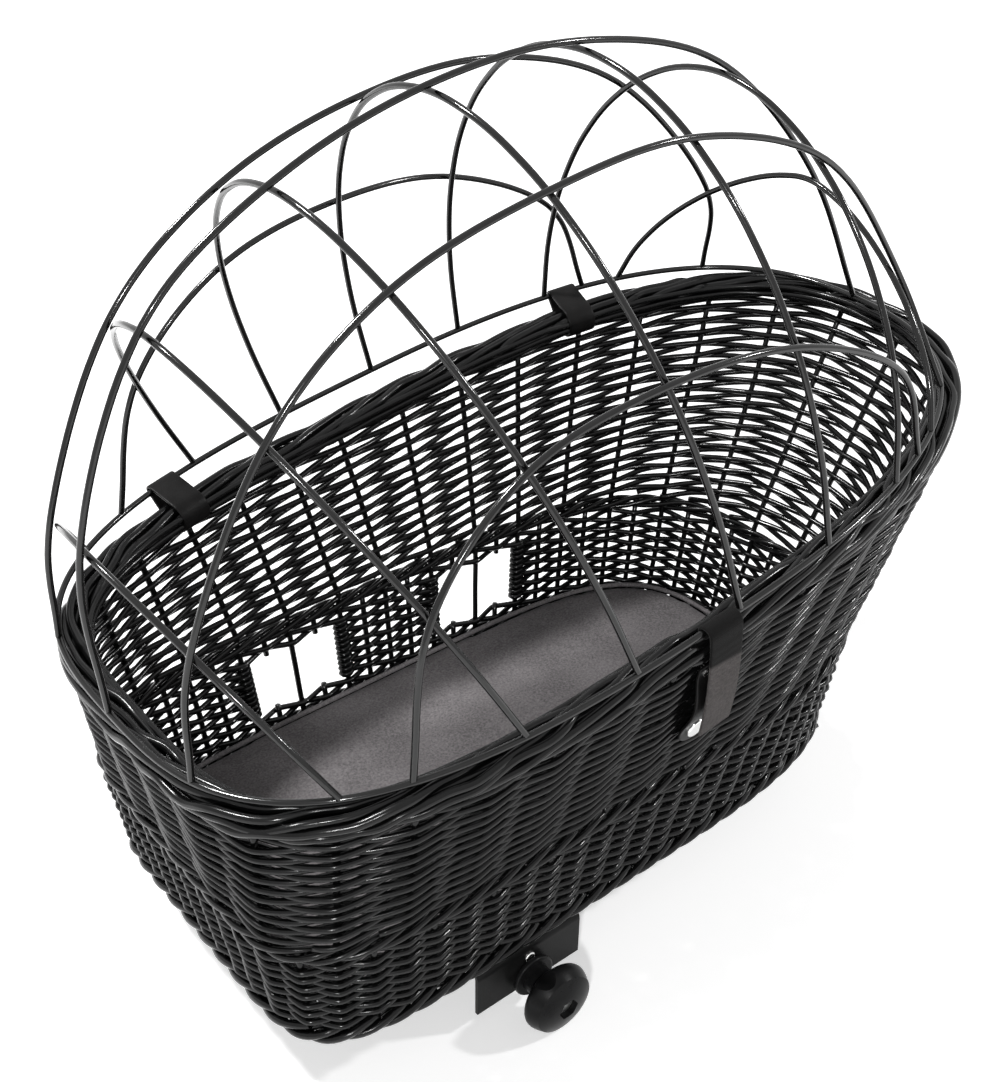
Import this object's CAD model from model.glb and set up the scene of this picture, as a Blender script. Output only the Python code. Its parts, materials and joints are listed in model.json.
"""Dog bicycle basket: wicker body, wire dome, leather closure and cushion, dressed over its frame.

The file is laid out as an add-on and run as a script. Lengths are metres in the frame of the part:
Z up, +X towards the raised end, +Y towards the hinged side, the carrier plate's underside at Z 0.
"""

import json
from math import atan, cos, pi, radians, sin

import bpy
import numpy as np
from bpy.props import FloatProperty, FloatVectorProperty, IntProperty, PointerProperty
from mathutils import Matrix, Vector


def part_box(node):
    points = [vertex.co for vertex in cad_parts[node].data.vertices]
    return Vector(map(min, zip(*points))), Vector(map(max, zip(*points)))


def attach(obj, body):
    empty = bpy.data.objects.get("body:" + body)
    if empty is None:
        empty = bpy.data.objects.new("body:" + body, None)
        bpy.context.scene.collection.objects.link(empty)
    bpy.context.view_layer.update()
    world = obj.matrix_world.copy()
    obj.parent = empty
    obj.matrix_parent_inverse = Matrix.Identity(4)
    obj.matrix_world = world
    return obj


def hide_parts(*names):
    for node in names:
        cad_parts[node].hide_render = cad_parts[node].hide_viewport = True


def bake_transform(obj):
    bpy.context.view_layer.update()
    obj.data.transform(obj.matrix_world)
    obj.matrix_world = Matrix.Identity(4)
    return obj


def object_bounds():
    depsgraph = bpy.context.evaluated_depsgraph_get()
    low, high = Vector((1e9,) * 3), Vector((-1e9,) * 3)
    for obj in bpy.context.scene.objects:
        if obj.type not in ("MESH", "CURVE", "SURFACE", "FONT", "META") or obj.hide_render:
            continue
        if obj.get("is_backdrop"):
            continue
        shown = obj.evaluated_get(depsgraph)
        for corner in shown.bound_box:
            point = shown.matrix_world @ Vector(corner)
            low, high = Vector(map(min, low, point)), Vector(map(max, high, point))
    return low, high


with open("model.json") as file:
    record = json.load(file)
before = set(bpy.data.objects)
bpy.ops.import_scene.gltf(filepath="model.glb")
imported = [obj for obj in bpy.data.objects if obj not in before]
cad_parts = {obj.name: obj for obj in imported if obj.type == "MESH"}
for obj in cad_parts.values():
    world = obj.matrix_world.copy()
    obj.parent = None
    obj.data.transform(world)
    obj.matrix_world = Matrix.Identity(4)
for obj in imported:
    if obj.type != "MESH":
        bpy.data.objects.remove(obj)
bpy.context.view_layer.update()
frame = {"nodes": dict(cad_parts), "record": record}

bl_info = {
    "name": "Dog bicycle basket",
    "version": (1, 0, 0),
    "blender": (4, 5, 0),
    "location": "View3D > Sidebar > Basket",
    "description": "Weaves, pads and lights a dog bicycle basket over its frame",
    "category": "Add Mesh",
}

# Boxes of the CAD nodes that sizes come from, and the middles between their faces
foot_low, foot_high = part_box("foot_border")
band_low, band_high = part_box("waling_band")
floor_low, floor_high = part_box("woven_floor")
cushion_low, cushion_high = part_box("cushion")
ring_low, ring_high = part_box("dome_ring")
foot_z = (foot_low.z + foot_high.z) / 2
band_z = (band_low.z + band_high.z) / 2
floor_z = (floor_low.z + floor_high.z) / 2
cushion_x = (cushion_high.x + cushion_low.x) / 2
cushion_z = (cushion_low.z + cushion_high.z) / 2

# How far the foot and the band stand out from the walls, and the radius of the dome's wire
overhang = 0.002
wire_radius = 0.002

# Names of the record's finishes by node
slot_of = {piece["node"]: piece["material_slot"] for piece in frame["record"]["subparts"]}


# Values that a user would change
def length_value(name, default, description):
    """A length in metres."""
    return FloatProperty(name=name, description=description, default=default, unit="LENGTH")


def plain_value(name, default, description):
    """A number without a unit."""
    return FloatProperty(name=name, description=description, default=default)


def count_value(name, default, description, least=1):
    """A whole number."""
    return IntProperty(name=name, description=description, default=default, min=least)


def colour_value(name, default, description):
    """A colour, as linear values."""
    return FloatVectorProperty(name=name, description=description, default=default, subtype="COLOR")


class BasketShape(bpy.types.PropertyGroup):
    """Outlines of the woven body."""

    base_half_length: length_value(
        "Base half length", (foot_high.x - foot_low.x) / 2 - overhang, "Half the length of the tub's floor")
    base_half_width: length_value(
        "Base half width", (foot_high.y - foot_low.y) / 2 - overhang, "Half the width of the tub's floor")
    base_centre_x: length_value(
        "Base centre", (foot_high.x + foot_low.x) / 2, "Middle of the tub's floor along X")
    base_left_power: plain_value("Base low end", 7.5, "Squareness of the floor's low end")
    base_right_power: plain_value("Base high end", 3.8, "Squareness of the floor's high end")
    band_half_length: length_value(
        "Band half length", (band_high.x - band_low.x) / 2 - overhang, "Half the wall's length at the band")
    band_half_width: length_value(
        "Band half width", (band_high.y - band_low.y) / 2 - overhang, "Half the wall's width at the band")
    band_centre_x: length_value(
        "Band centre", (band_high.x + band_low.x) / 2, "Middle of the waling band along X")
    band_left_power: plain_value("Band low end", 6.0, "Squareness of the band's low end")
    band_right_power: plain_value("Band high end", 3.3, "Squareness of the band's high end")
    rim_half_length: length_value("Rim half length", 0.3135, "Half the length of the border")
    rim_half_width: length_value("Rim half width", 0.1745, "Half the width of the border")
    rim_centre_x: length_value("Rim centre X", 0.0085, "Middle of the border along X")
    rim_centre_y: length_value("Rim centre Y", -0.0085, "Middle of the border along Y")
    rim_left_power: plain_value("Rim low end", 3.6, "Squareness of the border's low end")
    rim_right_power: plain_value("Rim high end", 2.4, "Squareness of the border's high end")
    ring_left_power: plain_value("Ring low end", 3.06, "Squareness of the dome ring's low end")
    ring_right_power: plain_value("Ring high end", 2.45, "Squareness of the dome ring's high end")
    rim_height: length_value("Rim height", 0.2415, "Height of the dome ring's centreline at X 0")
    rim_slope: plain_value("Rim slope", 0.1216, "Rise of the border per unit of length")
    wall_thickness: length_value("Wall thickness", 0.008, "Depth of the woven wall")
    wall_inset: length_value("Wall inset", 0.0045, "How far the wall's top lies inside the border's edge")
    wall_top_drop: length_value(
        "Wall top", 0.0223, "How far the wall's top lies under the dome ring's centreline")
    stake_lean: length_value(
        "Stake lean", 0.021, "How far the stakes lean towards the low end from band to border")


class WeaveSizes(bpy.types.PropertyGroup):
    """Rods of the weave."""

    stake_count: count_value("Stakes", 68, "Stakes round the basket, a multiple of four", 8)
    stake_diameter: length_value("Stake", 0.0042, "Diameter of a stake")
    weaver_diameter: length_value("Weaver", 0.0042, "Diameter of a weaver")
    row_pitch: length_value("Row pitch", 0.00425, "Distance from one row of the tub to the next")
    flare_pitch: length_value(
        "Flare pitch", 0.00455, "Distance from one row of the flared wall to the next")
    bow: length_value("Bow", 0.0032, "How far a weaver runs out from the middle of the wall")
    wander: length_value("Wander", 0.00042, "Unevenness of a handmade row")
    foot_strand_diameter: length_value("Foot strand", 0.0052, "Diameter of a strand of the foot")
    band_strand_diameter: length_value("Band strand", 0.0042, "Diameter of a strand of the waling band")
    window_first_stake: count_value(
        "Window start", 2, "Stake at a window's near edge, counted from the middle")
    window_last_stake: count_value("Window end", 6, "Stake at a window's far edge", 2)
    window_bottom: length_value("Window bottom", 0.0285, "Height of a window's sill")
    window_top: length_value("Window top", 0.0715, "Height of a window's head")


class BorderSizes(bpy.types.PropertyGroup):
    """Rods of the border round the mouth."""

    strand_count: count_value("Strands", 7, "Strands that wind round the border", 3)
    strand_diameter: length_value("Strand", 0.0056, "Diameter of a strand")
    half_width: length_value("Half width", 0.0079, "How far a strand's centre runs sideways")
    half_height: length_value("Half height", 0.0066, "How far a strand's centre runs up and down")
    turn_count: count_value("Turns", 5, "Turns of a strand over the whole border")
    inset: length_value("Inset", 0.011, "How far the border's middle lies inside its outline")
    drop: length_value("Drop", 0.0123, "How far the border's middle lies under the dome ring's centreline")
    inner_rod_diameter: length_value(
        "Inner rod", 0.0044, "Diameter of the smooth rods along the inner edge")


class SoftSizes(bpy.types.PropertyGroup):
    """Cushion and leather."""

    crown: length_value("Crown", 0.0035, "Rise of the cushion from edge to middle")
    welt_diameter: length_value("Welt", 0.0036, "Diameter of the cord sewn along the cushion's edge")
    strap_width: length_value("Strap width", 0.025, "Width of the closure's straps")
    strap_x: length_value("Strap place", -0.0165, "Middle of the closure along X")
    strap_length: length_value(
        "Strap length", 0.0832, "How far the closure strap hangs under the dome ring")
    leather_thickness: length_value("Leather", 0.002, "Thickness of the leather")
    backing_bulge: length_value(
        "Backing bulge", 0.005, "How far the backing strap stands off the wall")
    dark_top: length_value(
        "Dark top", 0.024, "Height over which the closure strap is dark under the dome ring")
    loop_width: length_value("Hinge loop", 0.021, "Width of a hinge loop")
    loop_give: length_value(
        "Loop give", 0.012, "Height under the wire over which a hinge loop gives way")
    loop_left_x: length_value(
        "Low hinge loop", -0.1745, "Middle of the hinge loop near the low end")
    loop_right_x: length_value(
        "High hinge loop", 0.162, "Middle of the hinge loop near the high end")


class BasketColours(bpy.types.PropertyGroup):
    """Colours of the finishes."""

    lacquer: colour_value("Lacquer", (0.0035, 0.0035, 0.0036), "Black lacquer on the wicker")
    fabric: colour_value("Fabric", (0.160, 0.150, 0.153), "Grey fabric of the cushion")
    suede: colour_value("Suede", (0.066, 0.060, 0.059), "Grey suede of the closure strap")
    leather: colour_value("Leather", (0.0045, 0.0043, 0.0043), "Black leather")
    wire: colour_value("Wire", (0.003, 0.003, 0.003), "Gloss coating of the dome")
    plastic: colour_value("Plastic", (0.0055, 0.0055, 0.0057), "Black plastic of the knob")
    coating: colour_value("Coating", (0.005, 0.005, 0.005), "Black coating of the steel")
    zinc: colour_value("Zinc", (0.55, 0.56, 0.55), "Zinc plating")
    nickel: colour_value("Nickel", (0.80, 0.80, 0.79), "Polished nickel")
    floor: colour_value("Studio floor", (0.86, 0.86, 0.86), "Pale floor of the studio")


def settings():
    """The scene, which holds the basket's values."""
    return bpy.context.scene


# Surfaces of the woven body
def oblong(turn, half_x, half_y, left_power, right_power, centre_x=0.0, centre_y=0.0):
    """A rounded oblong: (cos t, sin t) times (|cos t|^p + |sin t|^p)^(-1/p), with its own p at each end."""
    c, s = np.cos(turn), np.sin(turn)
    power = np.where(c > 0, right_power, left_power)
    reach = (np.abs(c) ** power + np.abs(s) ** power) ** (-1 / power)
    return np.stack([centre_x + half_x * reach * c, centre_y + half_y * reach * s], axis=-1)


def oblong_reach(share, power):
    """How wide a rounded oblong is at a share u of its half length: (1 - |u|^p)^(1/p)."""
    return (1 - abs(share) ** power) ** (1 / power)


def base_outline(turn, inset):
    """The tub's outline at its floor, set in."""
    s = settings().basket_shape
    return oblong(turn, s.base_half_length - inset, s.base_half_width - inset,
                  s.base_left_power, s.base_right_power, s.base_centre_x)


def band_outline(turn, inset):
    """The wall's outline at the waling band, set in."""
    s = settings().basket_shape
    return oblong(turn, s.band_half_length - inset, s.band_half_width - inset,
                  s.band_left_power, s.band_right_power, s.band_centre_x)


def rim_point(turn, inset, drop):
    """The border's outline set in, on the ring's slanting plane lowered square to itself by drop."""
    s = settings().basket_shape
    lean = atan(s.rim_slope)
    xy = oblong(turn, s.rim_half_length - inset, s.rim_half_width - inset,
                s.rim_left_power, s.rim_right_power, s.rim_centre_x, s.rim_centre_y)
    x, y = xy[..., 0], xy[..., 1]
    drop = np.broadcast_to(drop, x.shape)
    height = s.rim_height + s.rim_slope * x - drop * cos(lean)
    return np.stack([x + drop * sin(lean), y, height], axis=-1)


def tub(turn, height, inset):
    """The tub's wall: the floor's outline moved towards the band's in proportion to the height."""
    share = (height - foot_low.z) / (band_z - foot_low.z)
    turn, share, height = np.broadcast_arrays(turn, share, height)
    low, high = base_outline(turn, inset), band_outline(turn, inset)
    return np.concatenate([low + (high - low) * share[..., None], height[..., None]], axis=-1)


def flare(turn, share, inset):
    """The flared wall: straight lines from the top of the band (share 0) to under the border (1)."""
    s = settings().basket_shape
    turn, share = np.broadcast_arrays(turn, share)
    low = band_outline(turn, inset)
    low = np.concatenate([low, np.full(turn.shape + (1,), band_high.z)], axis=-1)
    high = rim_point(top_turn(turn), s.wall_inset + inset, s.wall_top_drop)
    return low + (high - low) * share[..., None]


def flare_slant(turn, inset):
    """The slant height of the flared wall."""
    return np.linalg.norm(flare(turn, 1.0, inset) - flare(turn, 0.0, inset), axis=-1)


def run_along(places):
    """The length run along a line of points."""
    return np.concatenate([[0], np.cumsum(np.linalg.norm(np.diff(places, axis=0), axis=1))])


def top_turn(turn):
    """The angle on the rim that belongs to one on the band.

    Each half of the band, low end and high end, spreads evenly over its own run of the rim, and both
    runs start and end at a point moved by the stakes' lean towards the low end.
    """
    s = settings().basket_shape
    fine = np.linspace(0, 2 * pi, 2001)
    hinged_side = slice(1, 999)
    places = rim_point(fine, s.wall_inset, s.wall_top_drop)[hinged_side]
    far = np.interp(s.stake_lean - s.base_centre_x, -places[:, 0], fine[hinged_side])
    knots = np.array([far, 2 * pi - far, far + 2 * pi])
    spread = stake_share(turn)
    half = np.floor(spread * 2)
    rim = np.concatenate([fine, fine[1:] + 2 * pi])
    run = run_along(rim_point(rim, s.wall_inset, s.wall_top_drop))
    at_knots = np.interp(knots, rim, run)
    first = np.where(half % 2 == 0, at_knots[0], at_knots[1])
    last = np.where(half % 2 == 0, at_knots[1], at_knots[2])
    place = first + (last - first) * (spread * 2 - half)
    return np.interp(place, run, rim) + 2 * pi * np.floor(half / 2)


def outward(surface, turn):
    """Level unit vectors square to a surface's path, pointing out: its direction turned by 90 degrees."""
    step = 1e-4
    along = surface(turn + step) - surface(turn - step)
    across = np.stack([along[..., 1], -along[..., 0], np.zeros(along.shape[:-1])], axis=-1)
    return across / np.linalg.norm(across, axis=-1, keepdims=True)


def tub_run():
    """Angles once round the tub and the share of its length run at each, from between the windows."""
    s = settings().basket_shape
    height, inset = (foot_low.z + band_high.z) / 2, s.wall_thickness / 2
    near = np.linspace(pi / 2 - 0.4, pi / 2 + 0.4, 400)
    start = np.interp(-s.base_centre_x, -tub(near, height, inset)[:, 0], near)
    turns = start + np.linspace(0, 2 * pi, 4001)
    run = run_along(tub(turns, height, inset))
    return turns, run / run[-1]


def stake_turn(stake):
    """The outline's angle at a stake number, from the length run along the middle of the tub.

    Number 0 is on the hinged side between the windows, and numbers grow towards the low end.
    """
    turns, run = tub_run()
    share = np.asarray(stake, dtype=float) / settings().basket_weave.stake_count
    return np.interp(share % 1.0, run, turns) + 2 * pi * np.floor(share)


def stake_share(turn):
    """The share of the tub's length run at an outline's angle."""
    turns, run = tub_run()
    whole = np.floor((turn - turns[0]) / (2 * pi))
    return np.interp(turn - 2 * pi * whole, turns, run) + whole


# Meshes
def link_object(name, data):
    """A new object that holds some data, in the scene's collection."""
    piece = bpy.data.objects.new(name, data)
    bpy.context.collection.objects.link(piece)
    return piece


def shade_smooth(mesh):
    """Shades every face of a mesh smooth."""
    mesh.polygons.foreach_set("use_smooth", np.ones(len(mesh.polygons), dtype=bool))


def read_places(piece):
    """The places of a mesh's points, as an (n, 3) array."""
    places = np.empty(len(piece.data.vertices) * 3)
    piece.data.vertices.foreach_get("co", places)
    return places.reshape(-1, 3)


def write_places(piece, places):
    """Moves a mesh's points to new places."""
    piece.data.vertices.foreach_set("co", places.ravel())
    piece.data.update()


def grid_quads(rows, columns, closed):
    """A grid's faces by row and column: it wraps round its columns, and if closed round its rows too."""
    i, j = np.meshgrid(np.arange(rows if closed else rows - 1), np.arange(columns), indexing="ij")
    ahead, beside = (i + 1) % rows, (j + 1) % columns
    corners = [i * columns + j, i * columns + beside, ahead * columns + beside, ahead * columns + j]
    return i, j, np.stack(corners, -1).reshape(-1, 4)


def directions(path, closed):
    """A path's direction at each point: the step from the point before it to the one after it."""
    if closed:
        return np.roll(path, -1, axis=0) - np.roll(path, 1, axis=0)
    return np.gradient(path, axis=0)


class Bundle:
    """Rods gathered into one mesh, with the length along and the way round each rod as its UV.

    Each rod's length starts at a random value, so that no two rods show the same grain.
    """

    def __init__(self, seed):
        self.random = np.random.default_rng(seed)
        self.points, self.quads, self.caps, self.quad_uv, self.cap_uv = [], [], [], [], []
        self.count = 0

    def add(self, path, radius, sides=6, closed=False, hint=(0, 0, 1), section=None):
        """Sweeps a ring along a path: each point plus radius times (cos a times one side vector + sin a
        times the other), both square to the path. section gives another ring, as (n, 2) shares."""
        path = np.asarray(path, dtype=float)
        count = len(path)
        along = directions(path, closed)
        along /= np.linalg.norm(along, axis=1, keepdims=True)
        one = np.cross(np.broadcast_to(hint, along.shape), along)
        one /= np.linalg.norm(one, axis=1, keepdims=True)
        two = np.cross(along, one)
        if section is None:
            angle = 2 * pi * np.arange(sides) / sides
            section = np.stack([np.cos(angle), np.sin(angle)], axis=1)
        sides = len(section)
        radius = np.broadcast_to(radius, (count,))[:, None, None]
        ring = one[:, None] * section[None, :, :1] + two[:, None] * section[None, :, 1:]
        self.points.append((path[:, None] + radius * ring).reshape(-1, 3))
        i, j, quads = grid_quads(count, sides, closed)
        self.quads.append(quads + self.count)
        steps = np.linalg.norm(np.roll(path, -1, axis=0) - path, axis=1)
        run = np.concatenate([[0], np.cumsum(steps)]) + self.random.uniform(0, 9)
        girth = 2 * pi * float(np.mean(radius)) / sides
        corners = ((0, 0), (0, 1), (1, 1), (1, 0))
        uv = np.stack([np.stack([run[i + up], (j + on) * girth], -1) for up, on in corners], axis=2)
        self.quad_uv.append(uv.reshape(-1, 2))
        if not closed:
            ends = np.stack([np.arange(sides)[::-1], (count - 1) * sides + np.arange(sides)])
            self.caps.append(ends + self.count)
            self.cap_uv.append(np.broadcast_to([run[0], 0], (2 * sides, 2)))
        self.count += count * sides

    def build(self, name):
        """Puts the rods into one object."""
        faces = [np.concatenate(self.quads)] + self.caps
        corners = np.concatenate([group.ravel() for group in faces])
        totals = np.concatenate([np.full(len(group), group.shape[1]) for group in faces])
        starts = np.concatenate([[0], np.cumsum(totals)[:-1]])
        mesh = bpy.data.meshes.new(name)
        points = np.concatenate(self.points)
        mesh.vertices.add(len(points))
        mesh.vertices.foreach_set("co", points.ravel())
        mesh.loops.add(len(corners))
        mesh.loops.foreach_set("vertex_index", corners.astype(np.int32))
        mesh.polygons.add(len(totals))
        mesh.polygons.foreach_set("loop_start", starts.astype(np.int32))
        mesh.polygons.foreach_set("loop_total", totals.astype(np.int32))
        shade_smooth(mesh)
        layer = mesh.uv_layers.new(name="Along")
        layer.data.foreach_set("uv", np.concatenate(self.quad_uv + self.cap_uv).ravel())
        mesh.update(calc_edges=True)
        mesh.validate()
        return link_object(name, mesh)


def dress(piece, slot, body="basket", nodes=()):
    """Gives a new piece its finish, the body it rides on, if any, and the CAD nodes it stands for."""
    piece.data.materials.clear()
    piece.data.materials.append(bpy.data.materials[slot])
    if nodes:
        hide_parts(*nodes)
    if body:
        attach(piece, body)


# Weave: the samples are the places where a weaver's path is worked out, from one stake to the next
samples = np.array([0.0, 0.07, 0.16, 0.33, 0.5, 0.67, 0.84, 0.93])
long_samples = np.array([0.0, 0.05, 0.11, 0.2, 0.3, 0.4, 0.5, 0.6, 0.7, 0.8, 0.89, 0.95])


def along_stakes(first, last, shares=samples, step=1):
    """Places along the stakes, closer together where a weaver bends."""
    return (np.arange(first, last, step)[:, None] + step * shares[None, :]).ravel()


def in_and_out(stake, edge=0.96):
    """+1 outside one stake and -1 inside the next: a zigzag with round tips, asin(edge cos) / asin(edge)."""
    return np.arcsin(edge * np.cos(pi * stake)) / np.arcsin(edge)


def wander(random, stake, size):
    """Small offsets chosen at random for each stake and eased from one to the next."""
    count = settings().basket_weave.stake_count
    table = random.normal(0, size, count)
    index = np.floor(stake).astype(int)
    share = stake - index
    share = share * share * (3 - 2 * share)
    return table[index % count] * (1 - share) + table[(index + 1) % count] * share


def woven_path(random, stake, row, surface, step=1):
    """A row's path: the wall's middle plus the in-and-out bow square to it and a little wander.

    surface gives the wall's middle for outline angles and a small shift along the wall. The row passes
    one stake in every step.
    """
    weave = settings().basket_weave
    turn = stake_turn(stake)
    bow = weave.bow * in_and_out(stake / step + row) + wander(random, stake, weave.wander * 0.6)
    place = surface(turn, wander(random, stake, weave.wander))
    return place + outward(lambda t: surface(t, 0.0), turn) * bow[:, None]


def make_stakes():
    """Stakes in the middle of the wall: every second one runs on to the border, the others end at the band.

    Those others are also cut at the windows, which show only their middle stake.
    """
    s, weave = settings().basket_shape, settings().basket_weave
    bundle = Bundle(11)
    inset = s.wall_thickness / 2
    in_foot, in_band, past_wall = 0.006, 0.004, 1.04
    uneven_place, uneven_line = 0.03, 0.0002
    off_stake = (0.9, 0.43, 0)
    bottom, top = foot_low.z + in_foot, band_high.z - in_band
    for k in range(weave.stake_count):
        turn = float(stake_turn(k + bundle.random.normal(0, uneven_place)))
        number = min(k, weave.stake_count - k)
        whole = tub(turn, np.linspace(bottom, top, 5), inset)
        runs = [whole]
        if k % 2 == 0:
            path = np.concatenate([whole, flare(turn, np.linspace(0, past_wall, 9), inset)])
            path[1:-1, :2] += bundle.random.normal(0, uneven_line, (len(path) - 2, 2))
            runs = [path]
        elif weave.window_first_stake < number < weave.window_last_stake:
            runs = [tub(turn, np.linspace(bottom, weave.window_bottom, 3), inset),
                    tub(turn, np.linspace(weave.window_top, top, 3), inset)]
        for path in runs:
            bundle.add(path, weave.stake_diameter / 2, sides=8, hint=off_stake)
    return bundle.build("stakes")


def make_tub_weave():
    """Rows of the tub, cut at the two windows, and the rods wrapped round the windows' edge stakes.

    A wrapped rod is a helix: its stake's line plus (cos a, sin a) times the radii of stake and rod.
    """
    s, weave = settings().basket_shape, settings().basket_weave
    bundle = Bundle(12)
    inset, radius = s.wall_thickness / 2, weave.weaver_diameter / 2
    past_stake, points_per_turn = 0.08, 9
    low, high = foot_high.z + radius, band_low.z - radius
    bottom, top = weave.window_bottom - radius, weave.window_top + radius
    rows = int((high - low) / weave.row_pitch) + 1
    first, last, count = weave.window_first_stake, weave.window_last_stake, weave.stake_count
    for row in range(rows):
        height = low + (high - low) * row / (rows - 1)

        def surface(turn, shift, height=height):
            return tub(turn, height + shift, inset)

        if bottom < height < top:
            for start, end in ((-first, first), (last, count - last)):
                stake = np.concatenate([along_stakes(start, end), [end]])
                stake[0] -= past_stake
                stake[-1] += past_stake
                bundle.add(woven_path(bundle.random, stake, row, surface), radius)
        else:
            stake = along_stakes(0, count)
            bundle.add(woven_path(bundle.random, stake, row, surface), radius, closed=True)
    wrap_radius = weave.stake_diameter / 2 + radius
    turns = int((top - bottom) / weave.weaver_diameter)
    share = np.linspace(0, 1, turns * points_per_turn + 1)
    angle = 2 * pi * turns * share
    around = np.stack([np.cos(angle), np.sin(angle), 0 * angle], axis=1)
    for k in (-last, -first, first, last):
        middle = tub(float(stake_turn(k)), bottom + (top - bottom) * share, inset)
        bundle.add(middle + around * wrap_radius, radius)
    return bundle.build("tub_weave")


def make_flare_weave():
    """Rows of the flared wall, parallel to the border and counted down from it.

    A row at distance d under the wall's top lies at share 1 - d / H, where H is the wall's slant height.
    Low rows run out into the waling band at the low end.
    """
    weave = settings().basket_weave
    inset, radius = settings().basket_shape.wall_thickness / 2, weave.weaver_diameter / 2
    first_row, every = 0.6, 2
    count = weave.stake_count
    stake = along_stakes(0, count, long_samples, every)
    slant = flare_slant(stake_turn(stake), inset)
    start = int(np.argmin(slant)) // len(long_samples) * len(long_samples)
    rolled = np.concatenate([stake[start:], stake[:start] + count])
    long_rows, short_rows = Bundle(13), Bundle(14)
    row = 0
    drop = weave.flare_pitch * first_row
    while drop <= slant.max() - weave.weaver_diameter:

        def surface(turn, shift, drop=drop):
            return flare(turn, 1 - (drop + shift) / flare_slant(turn, inset), inset)

        if drop < slant.min():
            long_rows.add(woven_path(long_rows.random, stake, row, surface, every), radius, closed=True)
        else:
            inside = np.flatnonzero(np.roll(slant, -start) > drop)
            run = rolled[inside[0]:inside[-1] + 1]
            short_rows.add(woven_path(short_rows.random, run, row, surface, every), radius)
        row += 1
        drop = weave.flare_pitch * (row + first_row)
    return long_rows.build("flare_weave_upper"), short_rows.build("flare_weave_lower")


def make_band(name, seed, height, diameter):
    """A rope of four strands round the wall that turns once in four stakes.

    Strand q lies at angle a = 2 pi (turns u + q / 4) about the wall's middle, and its centre runs
    0.78 diameters sideways and 0.86 diameters up and down.
    """
    stakes, inset = settings().basket_weave.stake_count, settings().basket_shape.wall_thickness / 2
    strands, count = 4, stakes * 6
    bundle = Bundle(seed)
    share = np.arange(count) / count
    turn = stake_turn(share * stakes)

    def middle(t):
        return tub(t, height, inset)

    place, side = middle(turn), outward(middle, turn)
    for q in range(strands):
        angle = 2 * pi * (stakes // strands * share + q / strands)
        path = place + side * (0.78 * diameter * np.cos(angle))[:, None]
        path[:, 2] += 0.86 * diameter * np.sin(angle)
        bundle.add(path, diameter / 2, sides=8, closed=True)
    return bundle.build(name)


def border_middle(turn):
    """The middle of the border's section."""
    border = settings().basket_border
    return rim_point(turn, border.inset, border.drop)


def dip(path):
    """How far the border is pressed down under the closure strap: a smooth bump along X on the near side."""
    depth, reach = 0.0034, 0.017
    bump = depth * np.exp(-((path[:, 0] - settings().basket_soft.strap_x) / reach) ** 4)
    return np.where(path[:, 1] < 0, bump, 0)


def make_border():
    """Strands that wind round the border in long straight slants, with smooth rods along its inner edge.

    Strand q lies at angle a = 2 pi (turns u + q / strands) of an ellipse, flattened towards straight
    runs by a ninth of its third harmonic.
    """
    border, stakes = settings().basket_border, settings().basket_weave.stake_count
    bundle = Bundle(16)
    count = 8 * stakes
    uneven_angle, uneven_radius, uneven_height = 0.22, 0.08, 0.0003
    share = np.arange(count) / count
    turn = stake_turn(share * stakes)
    place, side = border_middle(turn), outward(border_middle, turn)
    for q in range(border.strand_count):
        angle = 2 * pi * (border.turn_count * share + q / border.strand_count)
        angle = angle + uneven_angle * wander(bundle.random, share * stakes, 1.0)
        path = place + side * (border.half_width * (np.cos(angle) - np.cos(3 * angle) / 9))[:, None]
        path[:, 2] += border.half_height * (np.sin(angle) + np.sin(3 * angle) / 9)
        path[:, 2] -= dip(path)
        radius = border.strand_diameter / 2 * (1 + uneven_radius * bundle.random.normal())
        bundle.add(path, radius, sides=8, closed=True)
    inner, core = border.inner_rod_diameter / 2, 0.0042
    rods = ((-0.0093, 0.0030, inner), (-0.0091, -0.0024, inner), (0.0, -0.0005, core))
    for out, up, radius in rods:
        path = place + side * out
        path[:, 2] += up + wander(bundle.random, share * stakes, uneven_height) - dip(path)
        bundle.add(path, radius, sides=8, closed=True)
    return bundle.build("border_plait")


def make_floor():
    """Lengthwise sticks, weavers across them that pass over one and under the next, and rods round the edge.

    A weaver's height is the floor's middle plus bow times cos(pi y / spacing), turned over at each weaver.
    """
    s = settings().basket_shape
    bundle = Bundle(17)
    stick, weaver, bow = 0.0022, 0.0017, 0.0026
    sticks_each_side, spacing, pitch = 5, 0.022, 0.0046
    inset, edges = 0.0103, (0.0078, 0.0116, 0.0154)
    half_x, half_y = s.base_half_length - inset, s.base_half_width - inset
    for y in np.arange(-sticks_each_side, sticks_each_side + 1) * spacing:
        low_end = half_x * oblong_reach(y / half_y, s.base_left_power)
        x = np.linspace(s.base_centre_x - low_end, s.base_centre_x + low_end * 0.97, 12)
        bundle.add(np.stack([x, np.full(12, y), np.full(12, floor_z)], axis=1), stick)
    count = int(2 * half_x / pitch)
    for i in range(1, count):
        x = s.base_centre_x - half_x + 2 * half_x * i / count
        power = s.base_right_power if x > s.base_centre_x else s.base_left_power
        reach = half_y * oblong_reach((x - s.base_centre_x) / half_x, power)
        y = np.linspace(-reach, reach, max(6, int(reach / 0.0022)))
        z = floor_z + bow * np.cos(pi * (y / spacing + i))
        bundle.add(np.stack([np.full_like(y, x), y, z], axis=1), weaver)
    turn = np.linspace(0, 2 * pi, 240, endpoint=False)
    for edge in edges:
        bundle.add(np.column_stack([base_outline(turn, edge), np.full(240, floor_z)]), stick, closed=True)
    return bundle.build("floor_weave")


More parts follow.
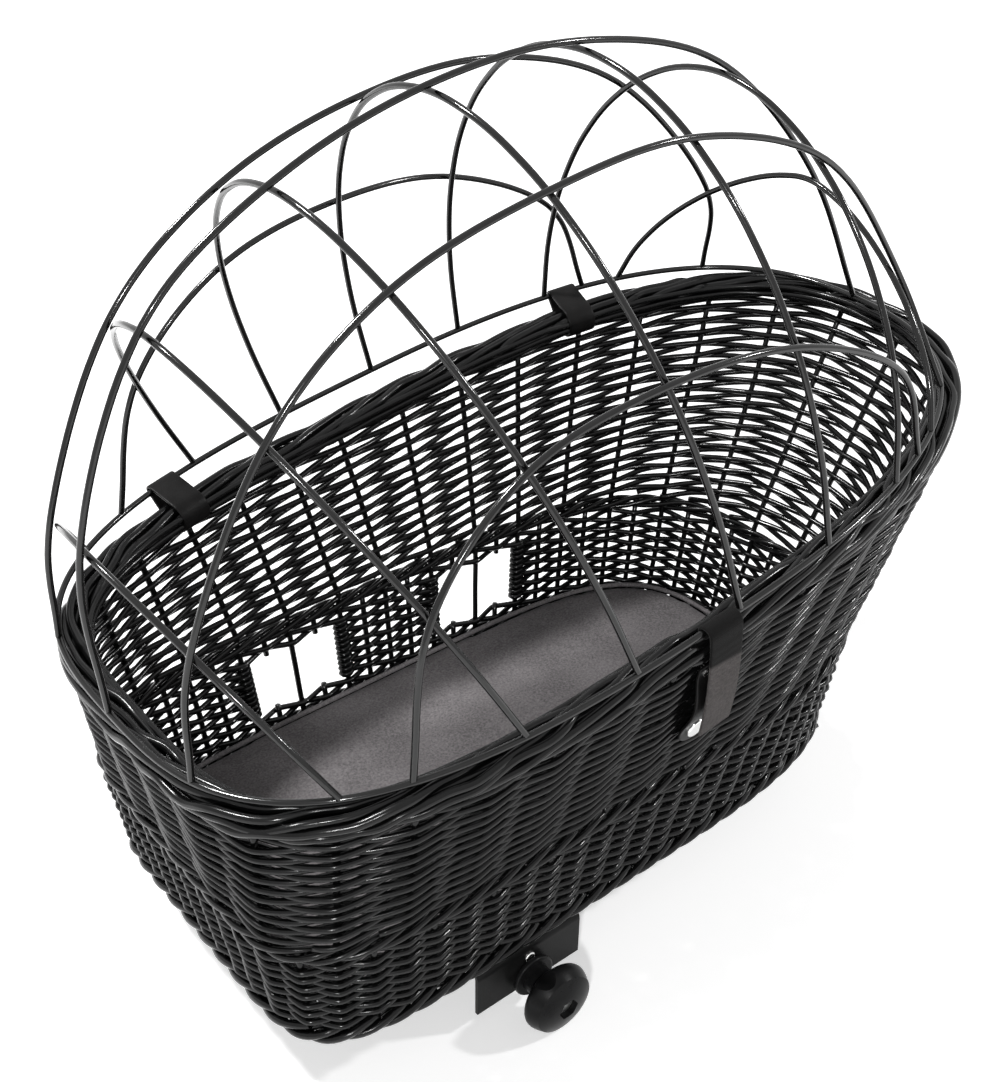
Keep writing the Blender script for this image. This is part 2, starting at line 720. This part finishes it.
# Cushion
def cushion_outline(turn, inset):
    """The cushion's outline: the floor's outline set in."""
    s = settings().basket_shape
    half_x = (cushion_high.x - cushion_low.x) / 2 - inset
    half_y = (cushion_high.y - cushion_low.y) / 2 - inset
    return oblong(turn, half_x, half_y, s.base_left_power, s.base_right_power, cushion_x)


def cushion_points(turn, ring):
    """A lens round the outline: ring runs from the bottom's middle (-1) over the edge (0) to the top's (1).

    A point lies at the share 1 - |ring| of the way out. The height rises as 1 - exp(-|ring| / roundness)
    and the top adds a crown of 1 - share squared.
    """
    crown = settings().basket_soft.crown
    play, roundness, bottom_play, tuck = 0.001, 0.045, 0.0006, 0.0045
    inside = np.abs(ring)
    reach = 1 - inside
    edge = cushion_z - play
    half = (cushion_high.z - cushion_low.z) / 2
    centre = np.array([cushion_x, 0.0])
    xy = centre + (cushion_outline(turn, play) - centre) * reach[..., None]
    rise = 1 - np.exp(-inside / roundness)
    top = edge + (half - crown) * rise + crown * (1 - reach**2)
    bottom = edge - (half - bottom_play) * rise + tuck * np.clip(inside * 3, 0, 1)
    return np.concatenate([xy, np.where(ring >= 0, top, bottom)[..., None]], axis=-1)


def folds(points):
    """Soft creases on the cushion's top: slanting sine waves that sway along Y and fade in towards the
    high end, and broad waves all over, a sine along X times a cosine along Y."""
    crease, broad = 0.0011, 0.0007
    start, run, end_run = 0.09, 0.09, 0.03
    pitch, sway, broad_x, broad_y = 0.0105, 0.035, 0.06, 0.05
    x, y = points[:, 0], points[:, 1]
    fade = np.clip((x - start) / run, 0, 1) * np.clip((cushion_high.x - x) / end_run, 0, 1)
    wave = np.sin((x * 0.8 + y * 0.5) / pitch + 2.0 * np.sin(y / sway))
    wide = np.sin(x / broad_x + 1.3) * np.cos(y / broad_y + 0.4)
    return np.where(points[:, 2] > cushion_z, crease * fade * wave + broad * wide, 0)


def grid_mesh(name, points):
    """A closed mesh from a grid that wraps round its second direction, with a fan at each pole."""
    rows, columns = points.shape[:2]
    vertices = np.concatenate([points.reshape(-1, 3), points[[0, -1]].mean(axis=1)])
    quads = grid_quads(rows, columns, False)[2]
    j = np.arange(columns)
    last, beside = (rows - 1) * columns, (j + 1) % columns
    first_fan = np.stack([np.full(columns, rows * columns), beside, j], -1)
    last_fan = np.stack([np.full(columns, rows * columns + 1), last + j, last + beside], -1)
    mesh = bpy.data.meshes.new(name)
    mesh.from_pydata(vertices.tolist(), [], quads.tolist() + first_fan.tolist() + last_fan.tolist())
    shade_smooth(mesh)
    mesh.update()
    return link_object(name, mesh)


def apply_modifiers(piece):
    """Makes the piece's mesh what its modifiers show, and removes them."""
    shown = bpy.data.meshes.new_from_object(piece.evaluated_get(bpy.context.evaluated_depsgraph_get()))
    piece.modifiers.clear()
    piece.data = shown
    shade_smooth(shown)


def inflate(piece, most):
    """Voxel remesh and a short cloth simulation under pressure, with each point's move capped."""
    voxel, pressure, frames = 0.005, 4, 20
    remesh = piece.modifiers.new("Remesh", "REMESH")
    remesh.mode = "VOXEL"
    remesh.voxel_size = voxel
    apply_modifiers(piece)
    start = read_places(piece)
    cloth = piece.modifiers.new("Cloth", "CLOTH")
    cloth.settings.use_pressure = True
    cloth.settings.uniform_pressure_force = pressure
    cloth.settings.effector_weights.gravity = 0
    scene = bpy.context.scene
    for number in range(1, frames + 1):
        scene.frame_set(number)
    apply_modifiers(piece)
    scene.frame_set(1)
    step = read_places(piece) - start
    size = np.linalg.norm(step, axis=1, keepdims=True)
    return start + step * np.minimum(1, most / np.maximum(size, 1e-9))


def make_cushion():
    """The cushion: a crowned pad, blown up a little as cloth, with soft creases at its high end."""
    most_blown, floor_play, edge = 0.0016, 0.0003, 0.16
    ring = np.concatenate([np.linspace(-1, -edge, 9)[1:], np.linspace(-edge, edge, 21)[1:-1],
                           np.linspace(edge, 1, 14)[:-1]])
    turn = np.linspace(0, 2 * pi, 180, endpoint=False)
    points = cushion_points(*np.broadcast_arrays(turn[None, :], ring[:, None]))
    piece = grid_mesh("cushion_pad", points)
    places = inflate(piece, most_blown)
    places[:, 2] += folds(places)
    places[:, 2] = np.clip(places[:, 2], floor_high.z + floor_play, None)
    write_places(piece, places)
    smooth = piece.modifiers.new("Smooth cloth", "SUBSURF")
    smooth.levels = 1
    smooth.render_levels = 1
    return piece


def make_welt():
    """The cord sewn along the cushion's upper edge."""
    bundle = Bundle(19)
    inset, height_share = 0.0022, 0.6
    turn = np.linspace(0, 2 * pi, 300, endpoint=False)
    z = np.full(300, cushion_low.z + height_share * (cushion_high.z - cushion_low.z))
    path = np.column_stack([cushion_outline(turn, inset), z])
    bundle.add(path, settings().basket_soft.welt_diameter / 2, sides=10, closed=True)
    return bundle.build("cushion_welt")


# Closure and hinges
def make_strap(name, seed, path, along, width, closed=False):
    """Leather carried along a path, flat across the direction along.

    Its section is a rectangle with round edges, as a superellipse with a high power.
    """
    thickness = settings().basket_soft.leather_thickness
    angle = np.linspace(0, 2 * pi, 28, endpoint=False)
    c, s = np.cos(angle), np.sin(angle)
    section = np.stack([np.sign(c) * np.abs(c) ** 0.12 * width / 2,
                        np.sign(s) * np.abs(s) ** 0.45 * thickness / 2], axis=1)
    bundle = Bundle(seed)
    bundle.add(path, 1.0, closed=closed, hint=np.cross(along, directions(path, closed)), section=section)
    return bundle.build(name)


def ease(points, count):
    """A smooth line through points: a cubic between each two, with slopes from their neighbours."""
    points = np.asarray(points, dtype=float)
    slope = np.gradient(points, axis=0)
    place = np.linspace(0, len(points) - 1, count)
    i = np.minimum(place.astype(int), len(points) - 2)
    t = (place - i)[:, None]
    return (points[i] * (2 * t**3 - 3 * t**2 + 1) + slope[i] * (t**3 - 2 * t**2 + t)
            + points[i + 1] * (3 * t**2 - 2 * t**3) + slope[i + 1] * (t**3 - t**2))


def slant():
    """The border's slanting plane: the directions up its slope and square to it."""
    lean = atan(settings().basket_shape.rim_slope)
    return np.array([cos(lean), 0, sin(lean)]), np.array([-sin(lean), 0, cos(lean)])


def ring_place(x, side):
    """A point of the dome ring's centreline: a rounded oblong on the border's slanting plane."""
    s = settings().basket_shape
    half_x = (ring_high.x - ring_low.x) / 2 - wire_radius
    half_y = (ring_high.y - ring_low.y) / 2 - wire_radius
    power = s.ring_left_power if x < 0 else s.ring_right_power
    return np.array([x, side * half_y * oblong_reach(x / half_x, power), s.rim_height + s.rim_slope * x])


def make_hinge_loop(name, x):
    """A leather loop drawn tight round the dome ring's wire and the border.

    Its path is the hull of a circle and an ellipse: in each direction, the furthest point of either.
    """
    border, soft = settings().basket_border, settings().basket_soft
    play, corner, points = 0.0001, 0.2, 64
    turn = np.linspace(corner, pi - corner, 900)
    turn = np.array([np.interp(-x, -border_middle(turn)[:, 0], turn)])
    side = outward(border_middle, turn)[0]
    along = np.cross(slant()[1], side)
    along /= np.linalg.norm(along)
    up = np.cross(side, along)
    ring = ring_place(x, 1)
    offset = border_middle(turn)[0] - ring
    thick = soft.leather_thickness / 2
    half_wide = border.half_width + border.strand_diameter / 2 + thick
    half_high = border.half_height + border.strand_diameter / 2 + thick
    angle = np.linspace(0, 2 * pi, 720, endpoint=False)
    facing = np.stack([np.cos(angle), np.sin(angle)], axis=1)
    wire = facing * (wire_radius + play + thick)
    reach = np.hypot(half_wide * facing[:, 0], half_high * facing[:, 1])[:, None]
    body = np.array([offset @ side, offset @ up]) + facing * [half_wide**2, half_high**2] / reach
    further = np.sum(body * facing, axis=1) > np.sum(wire * facing, axis=1)
    hull = np.where(further[:, None], body, wire)
    run = run_along(np.concatenate([hull, hull[:1]]))
    even = np.linspace(0, run[-1], points, endpoint=False)
    flat = np.stack([np.interp(even, run, np.append(hull[:, k], hull[0, k])) for k in (0, 1)], axis=1)
    path = ring + flat[:, :1] * side + flat[:, 1:] * up
    return make_strap(name, 23, path, along, soft.loop_width, closed=True)


def make_closure_strap():
    """The suede strap: once round the ring's wire, then down along an arc about the hinge line.

    hinge_span goes from the hinge line to the wire, and tail_reach to the strap's inner face.
    """
    soft = settings().basket_soft
    hinge_span, tail_reach, play = 0.34855, 0.35367, 0.00025
    wrap_start, wrap_end, tail_start = -60, -265, 0.0055
    out = np.array([0.0, -1.0, 0.0])
    along, up = slant()
    half = soft.leather_thickness / 2
    eye, reach = wire_radius + play + half, tail_reach + half
    angle = np.radians(np.linspace(wrap_start, wrap_end, 15))
    turned = np.stack([eye * np.cos(angle), eye * np.sin(angle)], axis=1)
    drop = np.linspace(tail_start, soft.strap_length, 14)
    tail = np.stack([np.sqrt(reach**2 - drop**2) - hinge_span, -drop], axis=1)
    bend = np.array([[0.0025, eye - 0.0001], [0.0050, 0.0014], [0.0060, -0.0020]])
    flat = ease(np.concatenate([turned, bend, tail]), 110)
    path = ring_place(soft.strap_x, -1) + flat[:, :1] * out + flat[:, 1:] * up
    return make_strap("closure_strap_suede", 21, path, along, soft.strap_width)


def make_backing_strap():
    """The black strap on the wall: rivets hold its top, it bulges out and ends round under the stud.

    It stands off the wall by a sine to the power 1.5, and past its end its width follows a circle.
    """
    s, soft = settings().basket_shape, settings().basket_soft
    start, end, stand_off, rounding = 0.004, 0.071, 0.0015, 16
    along = slant()[0]
    top = s.rim_height + s.rim_slope * soft.strap_x - s.wall_top_drop / along[0]
    high = np.array([soft.strap_x, s.rim_centre_y - s.rim_half_width + s.wall_inset, top])
    low = np.array([soft.strap_x, -s.band_half_width, band_high.z])
    out = np.cross(low - high, along)
    out /= np.linalg.norm(out)
    half = soft.strap_width / 2
    tip = end + half * np.sin(np.linspace(0.08, pi / 2, rounding))
    down = np.concatenate([np.linspace(start, end, 40), tip])
    share = np.clip((down - start) / (end - start), 0, 1)
    bulge = stand_off + soft.backing_bulge * np.sin(pi * np.clip(share * 1.12 - 0.12, 0, 1)) ** 1.5
    path = high - down[:, None] * np.cross(out, along) + bulge[:, None] * out
    piece = make_strap("closure_backing_leather", 22, path, along, soft.strap_width)
    wide = np.where(down > end, np.sqrt(np.maximum(1 - ((down - end) / half) ** 2, 0.0004)), 1.0)
    places = read_places(piece).reshape(len(path), -1, 3)
    offset = (places - path[:, None]) @ along
    write_places(piece, places - offset[..., None] * along * (1 - wide)[:, None, None])
    return piece


# Materials: the usual spread is the part of a mask's range over which a look changes
usual_spread = (0.3, 0.7)


def feed(tree, node, values):
    """Sets a node's sockets by name or number: each value is a constant, or the socket that feeds it."""
    for name, value in values.items():
        if isinstance(value, bpy.types.NodeSocket):
            tree.links.new(value, node.inputs[name])
        else:
            node.inputs[name].default_value = value


def add_node(tree, kind, values=None, **choices):
    """Adds a shader node, makes its choices and sets its sockets."""
    node = tree.nodes.new("ShaderNode" + kind)
    for name, choice in choices.items():
        setattr(node, name, choice)
    feed(tree, node, values or {})
    return node


def calculate(tree, operation, *values):
    """The result of a calculation on values or sockets."""
    return add_node(tree, "Math", dict(enumerate(values)), operation=operation).outputs[0]


def noise(tree, place, scale, detail, roughness=0.5):
    """A noise pattern from 0 to 1."""
    values = {"Vector": place, "Scale": scale, "Detail": detail, "Roughness": roughness}
    return add_node(tree, "TexNoise", values).outputs["Fac"]


def ramp(tree, mask, spread, low=0.0, high=1.0):
    """A value that goes from low to high as a mask runs over its spread."""
    values = {"Value": mask, "From Min": spread[0], "From Max": spread[1], "To Min": low, "To Max": high}
    return add_node(tree, "MapRange", values).outputs["Result"]


def mix(tree, factor, first, second):
    """A colour that goes from the first to the second as the factor goes from 0 to 1."""
    values = {"Factor": factor, "A": first, "B": second}
    return add_node(tree, "Mix", values, data_type="RGBA").outputs["Result"]


def new_material(name):
    """Empties the frame's material of that name, or a new one, down to an output and a Principled shader."""
    material = bpy.data.materials.get(name) or bpy.data.materials.new(name)
    material.use_nodes = True
    tree = material.node_tree
    tree.nodes.clear()
    shader = add_node(tree, "BsdfPrincipled")
    add_node(tree, "OutputMaterial", {"Surface": shader.outputs["BSDF"]})
    return tree, shader


def new_relief(name, inputs, make):
    """A node group of a finish: make gives its mask, its relief and the relief's depth."""
    group = bpy.data.node_groups.new(name, "ShaderNodeTree")
    for socket in inputs:
        group.interface.new_socket(name=socket, in_out="INPUT", socket_type="NodeSocketFloat")
    for socket, kind in (("Mask", "NodeSocketFloat"), ("Normal", "NodeSocketVector")):
        group.interface.new_socket(name=socket, in_out="OUTPUT", socket_type=kind)
    source = group.nodes.new("NodeGroupInput")
    mask, height, depth = make(group, add_node(group, "TexCoord"), source)
    values = {"Distance": depth, "Strength": source.outputs["Strength"], "Height": height}
    bump = add_node(group, "Bump", values)
    feed(group, group.nodes.new("NodeGroupOutput"), {"Mask": mask, "Normal": bump.outputs["Normal"]})
    return group


def rod_grain(group, place, source):
    """Streaks and blotches along a rod, read from its UV: length along and way round."""
    patterns = []
    for scale, detail in (((60, 900, 1), 4.0), ((45, 45, 1), 2.0)):
        stretch = add_node(group, "Mapping", {"Vector": place.outputs["UV"], "Scale": scale})
        patterns.append(noise(group, stretch.outputs["Vector"], 1.0, detail))
    blotch = calculate(group, "MULTIPLY", patterns[1], 0.45)
    mixed = calculate(group, "MULTIPLY_ADD", patterns[0], 0.55, blotch)
    return mixed, mixed, 0.0004


def pebble(group, place, source):
    """Fine pebbled relief and broad wear on Object coordinates, for leather, coating and moulded plastic."""
    values = {"Vector": place.outputs["Object"], "Scale": source.outputs["Scale"]}
    cells = add_node(group, "TexVoronoi", values)
    return noise(group, place.outputs["Object"], 55.0, 5.0), cells.outputs["Distance"], 0.0002


def heather(group, place, source):
    """A cloth of fine crossed threads flecked light and dark, on Object coordinates."""
    values = {"Vector": place.outputs["Object"], "Scale": source.outputs["Scale"],
              "Distortion": 1.6, "Detail": 1.0, "Detail Scale": 2.0}
    threads = [add_node(group, "TexWave", values, bands_direction=way).outputs["Fac"] for way in ("X", "Y")]
    crossed = calculate(group, "MAXIMUM", *threads)
    fleck = noise(group, place.outputs["Object"], 620.0, 3.0, 0.7)
    broad = calculate(group, "MULTIPLY", noise(group, place.outputs["Object"], 26.0, 3.0), 0.25)
    mask = calculate(group, "MULTIPLY_ADD", fleck, 0.75, broad)
    return mask, calculate(group, "MULTIPLY_ADD", crossed, 0.5, fleck), 0.00035


def make_finish(name, group, relief, colour, tones, rough, constants, spread=usual_spread):
    """A finish whose colour, times its tones, and roughness follow the mask of its relief."""
    tree, shader = new_material(name)
    look = add_node(tree, "Group", relief, node_tree=group)
    mask = look.outputs["Mask"]
    dark, light = [(*[c * tone for c in colour], 1) for tone in tones]
    feed(tree, shader, {
        "Base Color": mix(tree, ramp(tree, mask, spread), dark, light),
        "Roughness": ramp(tree, mask, usual_spread, *rough),
        "Normal": look.outputs["Normal"],
        **constants,
    })
    return tree, shader


def darken_top(tree, shader, colour, edge):
    """Mixes a shader's colour to another one above an edge height."""
    fade = 0.0015
    place = add_node(tree, "TexCoord").outputs["Object"]
    height = add_node(tree, "SeparateXYZ", {"Vector": place}).outputs["Z"]
    above = ramp(tree, height, (edge - fade, edge + fade))
    before = shader.inputs["Base Color"].links[0].from_socket
    feed(tree, shader, {"Base Color": mix(tree, above, before, (*colour, 1))})


def make_cloth(group, name, colour, sheen):
    """Grey heather cloth with a faint sheen."""
    constants = {"Sheen Weight": sheen, "Sheen Roughness": 0.5, "Specular IOR Level": 0.1}
    return make_finish(name, group, {"Scale": 1300.0, "Strength": 0.45}, colour, (0.62, 1.45), (0.85, 1.0),
                       constants, (0.36, 0.64))


def make_pebbled(group, name, colour, rough, scale, strength, metal=0.0, level=0.1, light=1.8):
    """A finish with fine relief and uneven gloss: leather, coating, plastic or plated metal."""
    constants = {"Metallic": metal, "Specular IOR Level": level}
    make_finish(name, group, {"Scale": scale, "Strength": strength}, colour, (0.8, light),
                (rough * 0.8, rough * 1.25), constants)


# Stage
def seen_directly(tree):
    """One where a ray comes from the camera, a glossy surface or through glass."""
    rays = add_node(tree, "LightPath").outputs
    either = calculate(tree, "MAXIMUM", rays["Is Camera Ray"], rays["Is Glossy Ray"])
    return calculate(tree, "MAXIMUM", either, rays["Is Transmission Ray"])


def make_floor_plane():
    """A round floor under the object's lowest point, white to the camera and pale to other rays.

    Its glow rises with the distance from the middle, so that it ends in the white of the world.
    """
    radius, sides, drop = 6, 64, 0.0005
    near_glow, far_glow, fade = 0.36, 1.0, (0.6, 1.5)
    white = (1, 1, 1, 1)
    turn = np.linspace(0, 2 * pi, sides, endpoint=False)
    height = np.full(sides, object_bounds()[0].z - drop)
    points = np.column_stack([radius * np.cos(turn), radius * np.sin(turn), height])
    mesh = bpy.data.meshes.new("studio_floor")
    mesh.from_pydata(points.tolist(), [], [list(range(sides))])
    plane = link_object("studio_floor", mesh)
    tree, shader = new_material("studio_floor")
    place = add_node(tree, "TexCoord").outputs["Object"]
    reach = add_node(tree, "VectorMath", {0: place}, operation="LENGTH").outputs["Value"]
    direct = seen_directly(tree)
    glow = ramp(tree, reach, fade, near_glow, far_glow)
    feed(tree, shader, {
        "Base Color": mix(tree, direct, (*settings().basket_colours.floor, 1), white),
        "Roughness": 1.0,
        "Specular IOR Level": 0.0,
        "Emission Strength": calculate(tree, "MULTIPLY", direct, glow),
        "Emission Color": white,
    })
    mesh.materials.append(bpy.data.materials["studio_floor"])
    plane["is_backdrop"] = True


def make_world():
    """A soft grey world that shows as white behind the object."""
    ambient = 0.24
    world = bpy.data.worlds.new("Studio")
    settings().world = world
    world.use_nodes = True
    tree = world.node_tree
    tree.nodes.clear()
    shown = mix(tree, seen_directly(tree), (ambient, ambient, ambient, 1), (1, 1, 1, 1))
    background = add_node(tree, "Background", {"Color": shown})
    add_node(tree, "OutputWorld", {"Surface": background.outputs["Background"]})


def make_lights():
    """Square soft boxes: a key overhead on the far left, a fill near left and a rim light near right."""
    target = Vector((0.0, 0.0, 0.15))
    lamps = (
        ("key", (-0.9, 0.9, 2.2), 0.26, 62),
        ("fill", (-1.5, -1.5, 1.5), 0.15, 26),
        ("side", (1.6, -1.1, 1.6), 0.15, 20),
    )
    for name, place, size, power in lamps:
        data = bpy.data.lights.new(name, "AREA")
        data.shape = "SQUARE"
        data.size = size
        data.energy = power
        lamp = link_object(name, data)
        lamp.location = place
        lamp.rotation_euler = (target - Vector(place)).to_track_quat("-Z", "Y").to_euler()


def make_camera():
    """The photograph's camera: its place, its view direction, a small roll and its focal length."""
    place = Vector((-0.5356, -0.6205, 0.7517))
    yaw, pitch, roll = radians(39.34), radians(34.39), radians(0.65)
    forward = Vector((cos(pitch) * sin(yaw), cos(pitch) * cos(yaw), -sin(pitch)))
    right = Vector((cos(yaw), -sin(yaw), 0))
    up = right.cross(forward)
    rolled_right = right * cos(roll) + up * sin(roll)
    rolled_up = up * cos(roll) - right * sin(roll)
    turn = Matrix((rolled_right, rolled_up, -forward)).transposed().to_4x4()
    data = bpy.data.cameras.new("photo_camera")
    data.lens = 50.75
    data.sensor_width = 36.0
    data.sensor_fit = "AUTO"
    data.clip_start = 0.01
    camera = link_object("photo_camera", data)
    camera.matrix_world = Matrix.Translation(place) @ turn
    settings().camera = camera


# Operators
class BASKET_OT_finishes(bpy.types.Operator):
    """Make the finishes and give each CAD node its own"""

    bl_idname = "basket.finishes"
    bl_label = "Finishes"

    def execute(self, context):
        shape, soft, colours = settings().basket_shape, settings().basket_soft, settings().basket_colours
        grain = new_relief("Rod grain", ("Strength",), rod_grain)
        fine = new_relief("Pebble", ("Scale", "Strength"), pebble)
        cloth = new_relief("Heather cloth", ("Scale", "Strength"), heather)
        make_finish("wicker", grain, {"Strength": 0.35}, colours.lacquer, (0.5, 1.5), (0.11, 0.24),
                    {"Specular IOR Level": 0.24})
        make_cloth(cloth, "cushion_fabric", colours.fabric, 0.03)
        tree, shader = make_cloth(cloth, "grey_felt", colours.suede, 0.04)
        edge = shape.rim_height + shape.rim_slope * soft.strap_x - soft.dark_top
        darken_top(tree, shader, colours.leather, edge)
        make_pebbled(fine, "black_wire", colours.wire, 0.12, 500.0, 0.05, level=0.42)
        make_pebbled(fine, "black_leather", colours.leather, 0.36, 1100.0, 0.35)
        make_pebbled(fine, "black_steel", colours.coating, 0.34, 1500.0, 0.15)
        make_pebbled(fine, "zinc_steel", colours.zinc, 0.38, 700.0, 0.08, metal=1.0, level=0.5, light=1.1)
        make_pebbled(fine, "bright_metal", colours.nickel, 0.16, 400.0, 0.02, metal=1.0, level=0.5,
                     light=1.05)
        make_pebbled(fine, "black_plastic", colours.plastic, 0.3, 1300.0, 0.12)
        for name, node in frame["nodes"].items():
            for place in node.material_slots:
                place.material = bpy.data.materials[slot_of[name]]
        return {"FINISHED"}


class BASKET_OT_weave(bpy.types.Operator):
    """Weave the stakes, the tub, the flared wall, the bands and the floor"""

    bl_idname = "basket.weave"
    bl_label = "Weave"

    def execute(self, context):
        weave = settings().basket_weave
        dress(make_stakes(), "wicker", nodes=("window_stakes",))
        dress(make_tub_weave(), "wicker", nodes=("lower_wall",))
        upper, lower = make_flare_weave()
        dress(upper, "wicker", nodes=("upper_wall",))
        dress(lower, "wicker")
        foot = make_band("foot_rope", 18, foot_z, weave.foot_strand_diameter)
        dress(foot, "wicker", nodes=("foot_border",))
        band = make_band("waling_rope", 15, band_z, weave.band_strand_diameter)
        dress(band, "wicker", nodes=("waling_band",))
        dress(make_floor(), "wicker", nodes=("woven_floor",))
        return {"FINISHED"}


class BASKET_OT_border(bpy.types.Operator):
    """Plait the border round the mouth"""

    bl_idname = "basket.border"
    bl_label = "Border"

    def execute(self, context):
        dress(make_border(), "wicker", nodes=("rim_border",))
        return {"FINISHED"}


class BASKET_OT_cushion(bpy.types.Operator):
    """Pad and sew the cushion"""

    bl_idname = "basket.cushion"
    bl_label = "Cushion"

    def execute(self, context):
        pad = make_cushion()
        dress(pad, "cushion_fabric", nodes=("cushion",))
        dress(make_welt(), "cushion_fabric")
        return {"FINISHED"}


class BASKET_OT_closure(bpy.types.Operator):
    """Cut the closure's two straps and the two hinge loops"""

    bl_idname = "basket.closure"
    bl_label = "Closure"

    def execute(self, context):
        soft = settings().basket_soft
        dress(make_closure_strap(), "grey_felt", "strap", ("closure_strap", "closure_facing"))
        dress(make_backing_strap(), "black_leather", nodes=("closure_backing",))
        for side, x in (("left", soft.loop_left_x), ("right", soft.loop_right_x)):
            wrap = make_hinge_loop("hinge_wrap_" + side, x)
            dress(wrap, "black_leather", None, ("hinge_loop_" + side,))
            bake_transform(wrap)
        return {"FINISHED"}


class BASKET_OT_stage(bpy.types.Operator):
    """Set the floor, the lights, the world and the camera"""

    bl_idname = "basket.stage"
    bl_label = "Stage"

    def execute(self, context):
        make_floor_plane()
        make_world()
        make_lights()
        make_camera()
        context.scene.view_settings.view_transform = "Standard"
        return {"FINISHED"}


class BASKET_PT_panel(bpy.types.Panel):
    """Steps and sizes of the basket"""

    bl_idname = "BASKET_PT_panel"
    bl_label = "Dog bicycle basket"
    bl_space_type = "VIEW_3D"
    bl_region_type = "UI"
    bl_category = "Basket"

    def draw(self, context):
        for step in steps:
            self.layout.operator(step.bl_idname)
        for group in groups:
            values = getattr(context.scene, group)
            box = self.layout.box()
            for name in values.bl_rna.properties.keys():
                if name not in ("rna_type", "name"):
                    box.prop(values, name)


groups = {
    "basket_shape": BasketShape,
    "basket_weave": WeaveSizes,
    "basket_border": BorderSizes,
    "basket_soft": SoftSizes,
    "basket_colours": BasketColours,
}
steps = (
    BASKET_OT_finishes,
    BASKET_OT_weave,
    BASKET_OT_border,
    BASKET_OT_cushion,
    BASKET_OT_closure,
    BASKET_OT_stage,
)


def register():
    """Registers the value groups, the steps and the panel."""
    for name, group in groups.items():
        bpy.utils.register_class(group)
        setattr(bpy.types.Scene, name, PointerProperty(type=group))
    for step in steps:
        bpy.utils.register_class(step)
    bpy.utils.register_class(BASKET_PT_panel)


def unregister():
    """Takes them out again."""
    bpy.utils.unregister_class(BASKET_PT_panel)
    for step in reversed(steps):
        bpy.utils.unregister_class(step)
    for name, group in reversed(groups.items()):
        delattr(bpy.types.Scene, name)
        bpy.utils.unregister_class(group)


def main():
    """Makes the basket step by step."""
    register()
    bpy.ops.basket.finishes()
    bpy.ops.basket.weave()
    bpy.ops.basket.border()
    bpy.ops.basket.cushion()
    bpy.ops.basket.closure()
    bpy.ops.basket.stage()


if __name__ == "__main__":
    main()
